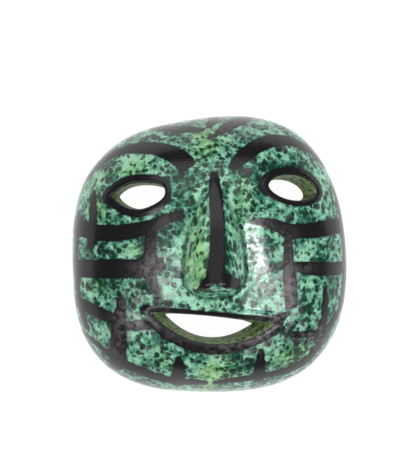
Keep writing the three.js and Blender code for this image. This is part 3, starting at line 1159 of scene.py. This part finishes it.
@dataclass
class MaskPiece:
    """The dressed mask: the shell's mesh with the paint layout stored on its points."""

    shell: MaskShell
    finish: GlazeFinish
    band_search: float = 60.0
    whole: float = 0.99
    run_height: tuple[float, float] = (0.4, 3.0)
    run_start: tuple[float, float] = (-16.0, -10.0)
    # The crease values place a painted shade: a dark line along the foot of the nose.
    crease_height: float = 0.4
    crease_width: float = 1.3
    crease_top: tuple[float, float] = (34.0, 10.0)

    def make(self) -> bpy.types.Object:
        """Build the mesh, store its attributes and give it its glaze.

        Returns:
            The piece.
        """
        points, marks, faces = self.shell.build()
        layout = self.paint_layout(points, marks)
        middle_x, middle_y = OUTER.outline.middle()
        low, high = (np.array(corner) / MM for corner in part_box(NODE))
        shift = np.array([(low[0] + high[0]) / 2.0 - middle_x, (low[1] + high[1]) / 2.0 - middle_y, low[2]])
        mesh = bpy.data.meshes.new("mask_shell")
        rows = [face[:3] if face[3] < 0 else face for face in faces.tolist()]
        mesh.from_pydata(((points + shift) * MM).tolist(), [], rows)
        mesh.polygons.foreach_set("use_smooth", np.ones(len(mesh.polygons), bool))
        for name, values in layout.items():
            mesh.attributes.new(name, "FLOAT", "POINT").data.foreach_set("value", values.astype(np.float32))
        mesh.materials.append(self.finish.material())
        mesh.validate()
        piece = bpy.data.objects.new("mask_shell", mesh)
        bpy.context.scene.collection.objects.link(piece)
        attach(piece, "root")
        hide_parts(NODE)
        return piece

    def paint_layout(self, points: Array, marks: Array) -> dict[str, Array]:
        """Values that place the bands and tones of the glaze on the surface.

        The plan is unrolled below the widest contour: a point there moves outwards by its fall, so
        that strokes that run over the edge fade down the side.

        Args:
            points: The shell's points.
            marks: Their marks from the mesh draft.

        Returns:
            Attribute names with one value for each point.
        """
        flat = points[:, 0] + 1j * points[:, 1]
        fall = np.maximum(OUTER.rim_z - points[:, 2], 0.0)
        plan = flat * (1.0 + fall / np.maximum(np.abs(flat), 1.0))
        bands = marks[:, 0].copy()
        angle = np.linspace(0.0, 2.0 * np.pi, BAND_STEPS + 1)[:-1]
        for opening in OPENINGS:
            edge, width = opening.outer.point(angle), opening.band.at(angle)
            near = np.abs(plan - opening.outer.x - 1j * opening.outer.y) < self.band_search
            near &= bands == FAR
            gaps = np.abs(plan[near][:, None] - edge[None, :])
            nearest = np.argmin(gaps, axis=1)
            bands[near] = gaps[np.arange(len(nearest)), nearest] - width[nearest]
            bands[near & (bands > BAND_LIMIT)] = FAR
        thin = np.full(len(points), FAR)
        outside = marks[:, 1] < self.whole
        for stroke in STROKES:
            target = bands if stroke.load is BrushLoad.FULL else thin
            target[outside] = np.minimum(target[outside], stroke.distance(plan[outside]))
        in_hole = (marks[:, 1] > 0.5) & (marks[:, 0] > 0.0)
        bands[in_hole] = np.maximum(bands[in_hole], marks[in_hole, 0])
        bands[marks[:, 1] > self.whole] = BAND_LIMIT
        # Painted shade along the crease at the foot of the nose, fading out towards the nose's top.
        wedge = np.where(outside, NOSE.wedge(points[:, 0], points[:, 1]), -FAR)
        crease_shade = np.exp(-(((wedge - self.crease_height) / self.crease_width) ** 2))
        return {
            "bands": np.clip(bands, -BAND_LIMIT, BAND_LIMIT),
            "thin_bands": np.clip(thin, -BAND_LIMIT, BAND_LIMIT),
            "inside": marks[:, 1],
            "foot": marks[:, 2],
            "warmth": sum(patch.warmth * patch.share(flat) for patch in TONES),
            "thickness": sum(patch.thickness * patch.share(flat) for patch in TONES),
            # Painted wear and sheen, up to 1.
            "wear_and_sheen": np.minimum(sum(patch.wear_and_sheen * patch.share(flat) for patch in TONES), 1.0),
            "run": smoothstep(*self.run_height, wedge) * smoothstep(*self.run_start, points[:, 1]),
            "crease_shade": crease_shade * smoothstep(*self.crease_top, points[:, 1]),
        }


class Signal:
    """One socket of a node tree, with arithmetic that adds Math nodes."""

    def __init__(self, sheet: NodeSheet, socket: bpy.types.NodeSocket) -> None:
        """Wrap an output socket of a sheet."""
        self.sheet = sheet
        self.socket = socket

    def math(self, operation: str, *values: object) -> Signal:
        """Add a Math node with the given values, this socket among them."""
        return self.sheet.add("ShaderNodeMath", {"operation": operation}, dict(enumerate(values)))

    def __add__(self, other: object) -> Signal:
        """Sum."""
        return self.math("ADD", self, other)

    __radd__ = __add__

    def __mul__(self, other: object) -> Signal:
        """Product."""
        return self.math("MULTIPLY", self, other)

    __rmul__ = __mul__

    def __sub__(self, other: object) -> Signal:
        """Difference."""
        return self.math("SUBTRACT", self, other)

    def __rsub__(self, other: object) -> Signal:
        """Difference from a number."""
        return self.math("SUBTRACT", other, self)

    def lower(self, other: object) -> Signal:
        """The lower of two values."""
        return self.math("MINIMUM", self, other)

    def higher(self, other: object) -> Signal:
        """The higher of two values."""
        return self.math("MAXIMUM", self, other)

    def rise(self, low: float, high: float) -> Signal:
        """Smooth step from 0 at low to 1 at high, or the fall if low is the higher number.

        Args:
            low: Value where the result is 0.
            high: Value where it is 1.

        Returns:
            The step.
        """
        if low > high:
            return 1.0 - self.rise(high, low)
        span = {"Value": self, "From Min": low, "From Max": high, "To Min": 0.0, "To Max": 1.0}
        return self.sheet.add("ShaderNodeMapRange", {"interpolation_type": "SMOOTHSTEP"}, span)


@dataclass(frozen=True)
class Grain:
    """Layer of noise that rises from 0 to 1 between two levels. Its period is in millimetres."""

    period: float
    low: float
    high: float
    detail: float = 2.0
    roughness: float = 0.5


class NodeSheet:
    """The node tree of one material."""

    def __init__(self, name: str) -> None:
        """Make an empty material.

        Args:
            name: The material's name.
        """
        self.material = bpy.data.materials.new(name)
        self.material.use_nodes = True
        self.tree = self.material.node_tree
        self.tree.nodes.clear()

    def add(
        self,
        kind: str,
        settings: dict[str, object] | None = None,
        inputs: dict[object, object] | None = None,
        output: object = 0,
    ) -> Signal:
        """Add a node.

        Args:
            kind: The node's type.
            settings: Its properties, set before its sockets.
            inputs: Values or signals, by socket name or number.
            output: Name or number of the socket to return.

        Returns:
            The chosen output.
        """
        node = self.tree.nodes.new(kind)
        for name, value in (settings or {}).items():
            setattr(node, name, value)
        for key, value in (inputs or {}).items():
            if isinstance(value, Signal):
                self.tree.links.new(value.socket, node.inputs[key])
            else:
                node.inputs[key].default_value = value
        return Signal(self, node.outputs[output] if len(node.outputs) else None)

    def attribute(self, name: str) -> Signal:
        """A value stored on the mesh's points."""
        return self.add("ShaderNodeAttribute", {"attribute_name": name}, output="Fac")

    def noise(
        self, place: Signal, period: float, detail: float = 2.0, roughness: float = 0.5, output: object = 0
    ) -> Signal:
        """Smooth noise, about 0.5, whose features are a period in millimetres apart."""
        inputs = {"Vector": place, "Scale": 1.0 / period, "Detail": detail, "Roughness": roughness}
        return self.add("ShaderNodeTexNoise", {}, inputs, output)

    def grain(self, place: Signal, grain: Grain) -> Signal:
        """Share of a layer of noise."""
        return self.noise(place, grain.period, grain.detail, grain.roughness).rise(grain.low, grain.high)

    def cells(self, place: Signal, period: float, output: str = "Distance") -> Signal:
        """Voronoi cells a period in millimetres apart."""
        return self.add("ShaderNodeTexVoronoi", {}, {"Vector": place, "Scale": 1.0 / period}, output)

    def luck(self, place: Signal, period: float, channel: int) -> Signal:
        """A random number of each Voronoi cell: one channel of its colour."""
        return self.add("ShaderNodeSeparateColor", {}, {0: self.cells(place, period, "Color")}, channel)

    def vector(self, operation: str, inputs: dict[object, object]) -> Signal:
        """Add a Vector Math node."""
        return self.add("ShaderNodeVectorMath", {"operation": operation}, inputs)

    def drifted(self, place: Signal, period: float = 6.0, reach: float = 4.0) -> Signal:
        """Move a place about by smooth noise.

        Args:
            place: Position in millimetres.
            period: Distance between the noise's features.
            reach: Span of the shift, half of it each way.

        Returns:
            The moved position.
        """
        cloud = self.noise(place, period, output="Color")
        shift = self.vector("MULTIPLY_ADD", {0: cloud, 1: (reach,) * 3, 2: (-reach / 2.0,) * 3})
        return self.vector("ADD", {0: place, 1: shift})

    def mix(self, share: object, a: object, b: object) -> Signal:
        """Mix two colours by a share."""
        return self.add("ShaderNodeMix", {"data_type": "RGBA"}, {0: share, 6: a, 7: b}, output=2)

    def shader(self, inputs: dict[str, object]) -> Signal:
        """Add a Principled shader."""
        return self.add("ShaderNodeBsdfPrincipled", {}, inputs)

    def finish(self, surface: Signal) -> bpy.types.Material:
        """Give the material its surface."""
        self.add("ShaderNodeOutputMaterial", {}, {"Surface": surface})
        return self.material


def paint(red: int, green: int, blue: int) -> tuple[float, float, float, float]:
    """Linear colour of a screen colour, by the sRGB curve.

    Args:
        red: Red channel, from 0 to 255.
        green: Green channel.
        blue: Blue channel.

    Returns:
        The colour, with an alpha of 1.
    """
    channels = []
    for value in (red, green, blue):
        share = value / 255.0
        channels.append(share / 12.92 if share <= 0.04045 else ((share + 0.055) / 1.055) ** 2.4)
    return (*channels, 1.0)


@dataclass(frozen=True)
class GlazeFinish:
    """Mottled copper-green glaze with near-black brushed bands, olive inside, bare clay under."""

    teal_light: tuple = paint(156, 216, 184)
    teal_mid: tuple = paint(62, 134, 108)
    teal_dark: tuple = paint(8, 38, 32)
    leaf_light: tuple = paint(162, 212, 154)
    leaf_mid: tuple = paint(84, 148, 92)
    leaf_dark: tuple = paint(14, 46, 30)
    blot: tuple = paint(26, 34, 36)
    band: tuple = paint(16, 14, 19)
    band_fringe: tuple = paint(5, 14, 17)
    band_speck: tuple = paint(54, 47, 54)
    # Pale lilac-grey for bands and glaze in the wear patches: partly worn paint, partly a painted sheen.
    band_worn_sheen: tuple = paint(104, 94, 100)
    thin_band: tuple = paint(62, 60, 66)
    ash_sheen: tuple = paint(140, 132, 138)
    olive: tuple = paint(120, 138, 92)
    olive_dark: tuple = paint(56, 72, 48)
    clay: tuple = paint(168, 146, 118)
    clay_dark: tuple = paint(120, 98, 76)
    index: float = 1.42
    glaze_roughness: float = 0.1
    dull_roughness: float = 0.2
    band_roughness: float = 0.2
    wall_roughness: float = 0.5
    wall_specular: float = 0.25
    clay_roughness: float = 0.85
    spot_size: float = 3.7
    speck_size: float = 2.1
    blot_size: float = 8.5
    pit_size: float = 4.3
    relief_depth: float = 0.2
    nose_lean: float = 0.33
    flank_apart: float = 40.0
    ash_sheen_grain: Grain = Grain(4.4, 0.46, 0.6, 3.0, 0.6)
    torn_grain: Grain = Grain(2.2, 0.54, 0.7, 3.0, 0.65)
    halo_grain: Grain = Grain(4.0, 0.3, 0.6)
    crease_shade_grain: Grain = Grain(5.0, 0.2, 0.5)
    thin_grain: Grain = Grain(2.4, 0.32, 0.5, 3.0, 0.7)
    speck_grain: Grain = Grain(1.6, 0.55, 0.72, 3.0, 0.7)
    worn_sheen_grain: Grain = Grain(4.0, 0.38, 0.64, 3.0, 0.62)
    clay_grain: Grain = Grain(1.2, 0.35, 0.7, 3.0, 0.7)
    dull_grain: Grain = Grain(4.2, 0.52, 0.66)
    olive_grain: Grain = Grain(2.6, 0.42, 0.62, 4.0, 0.7)

    def mottle(self, sheet: NodeSheet, place: Signal, warmth: Signal, thickness: Signal) -> Signal:
        """Colour of the green glaze: soft clouds under dark spots and specks, and a few blots.

        Args:
            sheet: The material's nodes.
            place: Position in millimetres.
            warmth: Share of the yellower green.
            thickness: How thick the glaze lies, above zero for more dark spots.

        Returns:
            The colour.
        """
        bent = sheet.drifted(place)
        share = (warmth + (sheet.noise(place, 24.0) - 0.5) * 1.4).rise(0.05, 0.8)
        light = sheet.mix(share, self.teal_light, self.leaf_light)
        middle = sheet.mix(share, self.teal_mid, self.leaf_mid)
        dark = sheet.mix(share, self.teal_dark, self.leaf_dark)
        cloud = sheet.noise(place, 15.0, 2.0) - 0.5 + thickness
        tone = sheet.noise(bent, 5.0, 3.0, 0.55) * 0.7 + sheet.noise(place, 1.7, 2.0) * 0.3 - cloud * 0.3
        green = sheet.mix(tone.rise(0.4, 0.64), middle, light)
        green = sheet.mix(tone.rise(0.48, 0.3) * 0.7, green, dark)
        jitter = (sheet.noise(bent, 1.5, 2.0) - 0.5) * 0.5
        luck = sheet.luck(bent, self.spot_size, 0)
        spots = (sheet.cells(bent, self.spot_size) + jitter - cloud * 0.6 - luck * 0.28).rise(0.42, 0.16)
        specks = (sheet.cells(bent, self.speck_size) + jitter - cloud * 0.8).rise(0.34, 0.1)
        green = sheet.mix((spots * 0.94).higher(specks * 0.8), green, dark)
        luck = sheet.luck(bent, self.blot_size, 1)
        blots = (sheet.cells(bent, self.blot_size) + jitter * 0.7 - luck * 0.4).rise(0.04, -0.1)
        return sheet.mix(blots * 0.9, green, self.blot)

    def relief(self, sheet: NodeSheet, place: Signal, grit: Signal) -> Signal:
        """Bump of the fired surface: slow waves, orange peel and pits, and grit where it is given.

        Args:
            sheet: The material's nodes.
            place: Position in millimetres.
            grit: Height of the grit.

        Returns:
            The bumped normal.
        """
        waves = sheet.noise(place, 6.5, 1.0) * 0.5
        peel = sheet.noise(place, 2.0, 1.0) * 0.07
        pits = sheet.cells(sheet.drifted(place), self.pit_size).rise(0.05, 0.38) * 0.12
        height = waves + peel + pits + sheet.noise(place, 0.9, 1.0) * grit
        inputs = {"Strength": 1.0, "Distance": self.relief_depth * MM, "Height": height}
        return sheet.add("ShaderNodeBump", {}, inputs)

    def nose_place(self, sheet: NodeSheet, place: Signal) -> Signal:
        """Place on the nose's flanks, where the glaze ran: drawn out along lines that lean from the ridge.

        The two flanks are taken from places wide apart, so that their patterns differ.

        Args:
            sheet: The material's nodes.
            place: Position in millimetres.

        Returns:
            The drawn-out position.
        """
        across, along, height = (sheet.add("ShaderNodeSeparateXYZ", {}, {0: place}, axis) for axis in "XYZ")
        offset = across - NOSE_X
        spread = offset.math("ABSOLUTE", offset) * 1.15 + along * self.nose_lean
        flank = offset.math("GREATER_THAN", offset, 0.0) * self.flank_apart
        return sheet.add("ShaderNodeCombineXYZ", {}, {0: spread, 1: along * 0.7, 2: height + flank})

    def material(self) -> bpy.types.Material:
        """Build the glaze from its layers: green, pale ash for wear and a painted sheen, halo, a painted
        shade in the crease at the nose's foot, dry strokes, bands and clay.

        Returns:
            The material.
        """
        sheet = NodeSheet("mottled_green_glaze")
        metres = sheet.add("ShaderNodeTexCoord", output="Object")
        place = sheet.vector("SCALE", {0: metres, "Scale": 1.0 / MM})
        warmth = sheet.attribute("warmth")
        thickness = sheet.attribute("thickness")
        plain = self.mottle(sheet, place, warmth, thickness)
        drawn = self.mottle(sheet, self.nose_place(sheet, place), warmth, thickness)
        green = sheet.mix(sheet.attribute("run"), plain, drawn)
        wobble = (sheet.noise(place, 5.0, 2.0) - 0.5) * 1.3 + (sheet.noise(place, 1.3, 2.0) - 0.5) * 0.7
        band_gap = sheet.attribute("bands") + wobble
        thin_gap = sheet.attribute("thin_bands") + wobble * 1.6
        # Pale lilac-grey over the green in the wear patches: partly wear, partly a painted sheen of the
        # lamps.
        wear_and_sheen = sheet.attribute("wear_and_sheen")
        green = sheet.mix(wear_and_sheen * sheet.grain(sheet.drifted(place), self.ash_sheen_grain) * 0.75, green, self.ash_sheen)
        torn = wear_and_sheen * sheet.grain(place, self.torn_grain) * 0.6
        band_share = band_gap.rise(0.3, -0.3) * (1.0 - torn)
        halo = band_gap.lower(thin_gap).rise(1.3, 0.0) * sheet.grain(place, self.halo_grain)
        # Painted shade: dark teal laid along the crease at the nose's foot, broken up by noise.
        crease_shade = sheet.attribute("crease_shade") * sheet.grain(place, self.crease_shade_grain) * 0.9
        colour = sheet.mix((halo * 0.6).higher(crease_shade), green, self.teal_dark)
        thin_share = thin_gap.rise(0.5, -0.9) * sheet.grain(place, self.thin_grain)
        colour = sheet.mix(thin_share * 0.85, colour, self.thin_band)
        body = sheet.mix(sheet.grain(place, self.speck_grain) * 0.6, self.band, self.band_speck)
        # The bands turn pale lilac-grey in the same patches: worn paint and a painted sheen.
        body = sheet.mix(wear_and_sheen * sheet.grain(place, self.worn_sheen_grain), body, self.band_worn_sheen)
        painted = sheet.mix(band_gap.rise(-1.7, -0.3) * (1.0 - wear_and_sheen * 0.45) * 0.85, body, self.band_fringe)
        colour = sheet.mix(band_share, colour, painted)
        clay = sheet.mix(sheet.grain(place, self.clay_grain), self.clay, self.clay_dark)
        foot = (sheet.attribute("foot") + (sheet.noise(place, 6.0) - 0.5) * 0.3).rise(0.5, 0.7)
        colour = sheet.mix(foot, colour, clay)
        dull = sheet.grain(sheet.drifted(place), self.dull_grain)
        shine = self.glaze_roughness + dull * (1.0 - band_share) * self.dull_roughness
        rough = shine + band_share * (self.band_roughness - self.glaze_roughness)
        rough = rough + foot * (self.clay_roughness - rough)
        normal = self.relief(sheet, place, band_share * 0.16 + wear_and_sheen * 0.6)
        face = sheet.shader({"Base Color": colour, "Roughness": rough, "IOR": self.index, "Normal": normal})
        wall = sheet.shader({
            "Base Color": sheet.mix(sheet.grain(place, self.olive_grain), self.olive, self.olive_dark),
            "Roughness": self.wall_roughness,
            "IOR": self.index,
            "Specular IOR Level": self.wall_specular,
            "Normal": normal,
        })
        inner_share = sheet.attribute("inside") * (1.0 - band_share) * (1.0 - foot)
        return sheet.finish(sheet.add("ShaderNodeMixShader", {}, {0: inner_share, 1: face, 2: wall}))


def direction(azimuth: float, elevation: float) -> Vector:
    """Unit vector of a direction in degrees: azimuth turns +Z to +X, and elevation lifts it to +Y."""
    turn, lift = math.radians(azimuth), math.radians(elevation)
    return Vector((math.sin(turn) * math.cos(lift), math.sin(lift), math.cos(turn) * math.cos(lift)))


def facing(back: Vector, place: Vector) -> Matrix:
    """Matrix of a lamp or camera that looks against a direction, level with the face.

    Args:
        back: Unit vector from what it looks at towards it.
        place: Where it stands.

    Returns:
        The matrix.
    """
    right = Vector((0.0, 1.0, 0.0)).cross(back).normalized()
    matrix = Matrix((right, back.cross(right), back)).transposed().to_4x4()
    matrix.translation = place
    return matrix


@dataclass(frozen=True)
class SoftBox:
    """A rectangular studio lamp, wide by high in metres, with its power in watts."""

    name: str
    azimuth: float
    elevation: float
    distance: float
    size: tuple[float, float]
    power: float

    def make(self, target: Vector) -> None:
        """Place the lamp at its distance from a target, aimed at it.

        Args:
            target: The target.
        """
        away = direction(self.azimuth, self.elevation)
        data = bpy.data.lights.new(self.name, "AREA")
        data.shape = "RECTANGLE"
        data.size, data.size_y = self.size
        data.energy = self.power
        lamp = bpy.data.objects.new(self.name, data)
        lamp.matrix_world = facing(away, target + away * self.distance)
        bpy.context.scene.collection.objects.link(lamp)


@dataclass(frozen=True)
class Studio:
    """Pale floor, pale surroundings, soft lamps and the camera.

    The camera's lengths and the floor's gap are in millimetres, and the rest is in metres.
    """

    image_size: tuple[int, int] = (410, 465)
    camera_azimuth: float = -5.0
    camera_elevation: float = 3.0
    camera_distance: float = 720.0
    target: tuple[float, float, float] = (-4.6, 15.0, 30.0)
    millimetres_per_pixel: float = 0.646
    sensor: float = 36.0
    floor_size: float = 8.0
    floor_gap: float = 0.1
    floor_grey: tuple = (0.1, 0.1, 0.1, 1.0)
    floor_roughness: float = 0.9
    floor_glow: float = 0.97
    room_light: float = 0.2
    lamp_aim: tuple[float, float, float] = (0.0, 0.0, 0.06)
    lamps: tuple[SoftBox, ...] = (
        SoftBox("key_softbox", 26.5, -1.0, 1.1, (0.21, 0.09), 2.25),
        SoftBox("right_softbox", 37.0, -12.0, 1.1, (0.8, 0.22), 3.7),
        SoftBox("left_softbox", -24.0, -6.5, 1.1, (0.36, 0.15), 1.1),
        SoftBox("low_left_softbox", -42.0, -20.0, 1.1, (0.5, 0.26), 2.4),
        SoftBox("top_softbox", -5.0, 45.0, 1.2, (1.2, 0.7), 3.7),
        SoftBox("front_softbox", -3.0, 6.0, 1.3, (1.3, 1.3), 3.1),
    )

    def make(self) -> None:
        """Build the studio."""
        self.floor()
        self.surroundings()
        for lamp in self.lamps:
            lamp.make(Vector(self.lamp_aim))
        self.camera()
        bpy.context.scene.view_settings.view_transform = "Standard"

    def floor(self) -> None:
        """Lay the lit pale floor that the mask lies on."""
        half, level = self.floor_size / 2.0, -self.floor_gap * MM
        corners = [(-half, -half), (half, -half), (half, half), (-half, half)]
        mesh = bpy.data.meshes.new("studio_floor")
        mesh.from_pydata([(x, y, level) for x, y in corners], [], [(0, 1, 2, 3)])
        sheet = NodeSheet("lit_floor")
        surface = sheet.shader({
            "Base Color": self.floor_grey,
            "Roughness": self.floor_roughness,
            "Emission Color": WHITE,
            "Emission Strength": self.floor_glow,
        })
        mesh.materials.append(sheet.finish(surface))
        floor = bpy.data.objects.new("studio_floor", mesh)
        bpy.context.scene.collection.objects.link(floor)

    def surroundings(self) -> None:
        """Set the even light of the room."""
        world = bpy.data.worlds.new("pale_room")
        bpy.context.scene.world = world
        world.use_nodes = True
        background = world.node_tree.nodes["Background"]
        background.inputs["Color"].default_value = WHITE
        background.inputs["Strength"].default_value = self.room_light

    def camera(self) -> None:
        """Set the camera in front of the face, a little to its left and above its middle."""
        back = direction(self.camera_azimuth, self.camera_elevation)
        data = bpy.data.cameras.new("camera")
        focal_pixels = self.camera_distance / self.millimetres_per_pixel
        data.lens = focal_pixels * self.sensor / max(self.image_size)
        data.sensor_width = self.sensor
        camera = bpy.data.objects.new("camera", data)
        camera.matrix_world = facing(back, (Vector(self.target) + back * self.camera_distance) * MM)
        bpy.context.scene.collection.objects.link(camera)
        bpy.context.scene.camera = camera


def main() -> None:
    """Build the mask and its studio, and report each piece."""
    logging.basicConfig(level=logging.INFO)
    piece = MaskPiece(MaskShell(), GlazeFinish()).make()
    LOG.info("%s: %d points, %d faces", piece.name, len(piece.data.vertices), len(piece.data.polygons))
    LOG.info("painted on it: %s", ", ".join(part.name for part in (*OPENINGS, *STROKES)))
    studio = Studio()
    studio.make()
    LOG.info("studio: %d lamps", len(studio.lamps))


if __name__ == "__main__":
    main()
